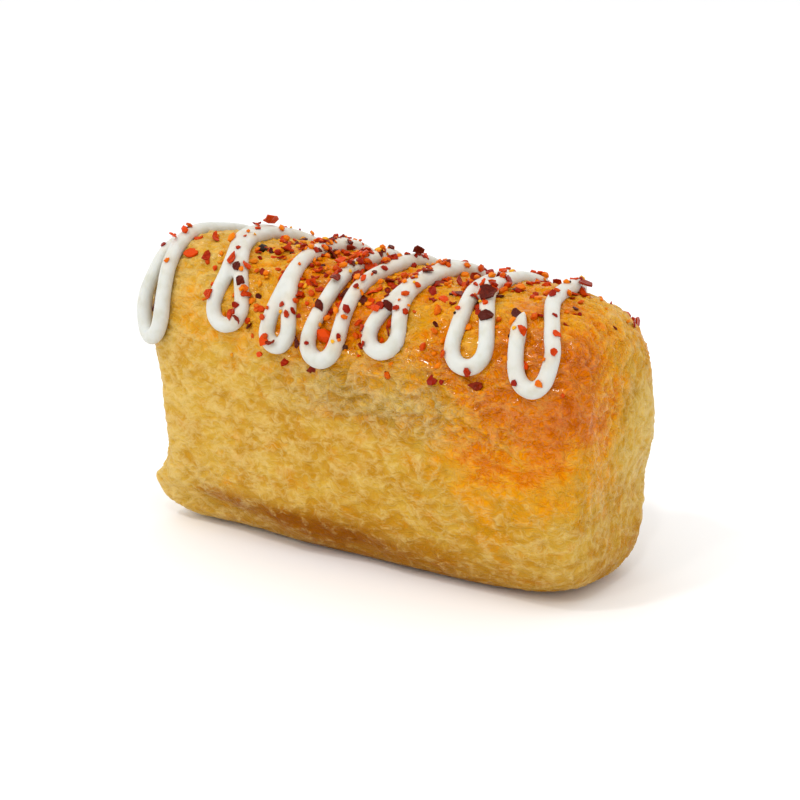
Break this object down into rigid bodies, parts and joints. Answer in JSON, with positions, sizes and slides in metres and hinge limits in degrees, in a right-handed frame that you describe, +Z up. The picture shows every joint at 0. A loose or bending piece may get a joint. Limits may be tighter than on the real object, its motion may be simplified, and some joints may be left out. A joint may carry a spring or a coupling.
{
  "type": "inari sushi",
  "caption": "Sweet fried-tofu pouch of sushi rice, folded shut, with a looping zigzag of mayonnaise and chilli flakes over its ridge.",
  "frame": {"origin": "on the surface the piece rests on, under the middle of its bounding box", "axes": "+X along the pouch, -Y is the front with the folded lip at its foot, +Z up"},
  "size_m": [0.0761, 0.0329, 0.0469],
  "materials": {
    "fried_tofu_skin": "moist, finely wrinkled fried tofu, golden tan with orange soaked patches",
    "mayonnaise": "smooth glossy white sauce",
    "chilli": "crushed dried chilli, dark red to orange"
  },
  "bodies": {
    "root": {"pouch": "fried_tofu_skin", "mayonnaise_zigzag": "mayonnaise"}
  },
  "joints": []
}
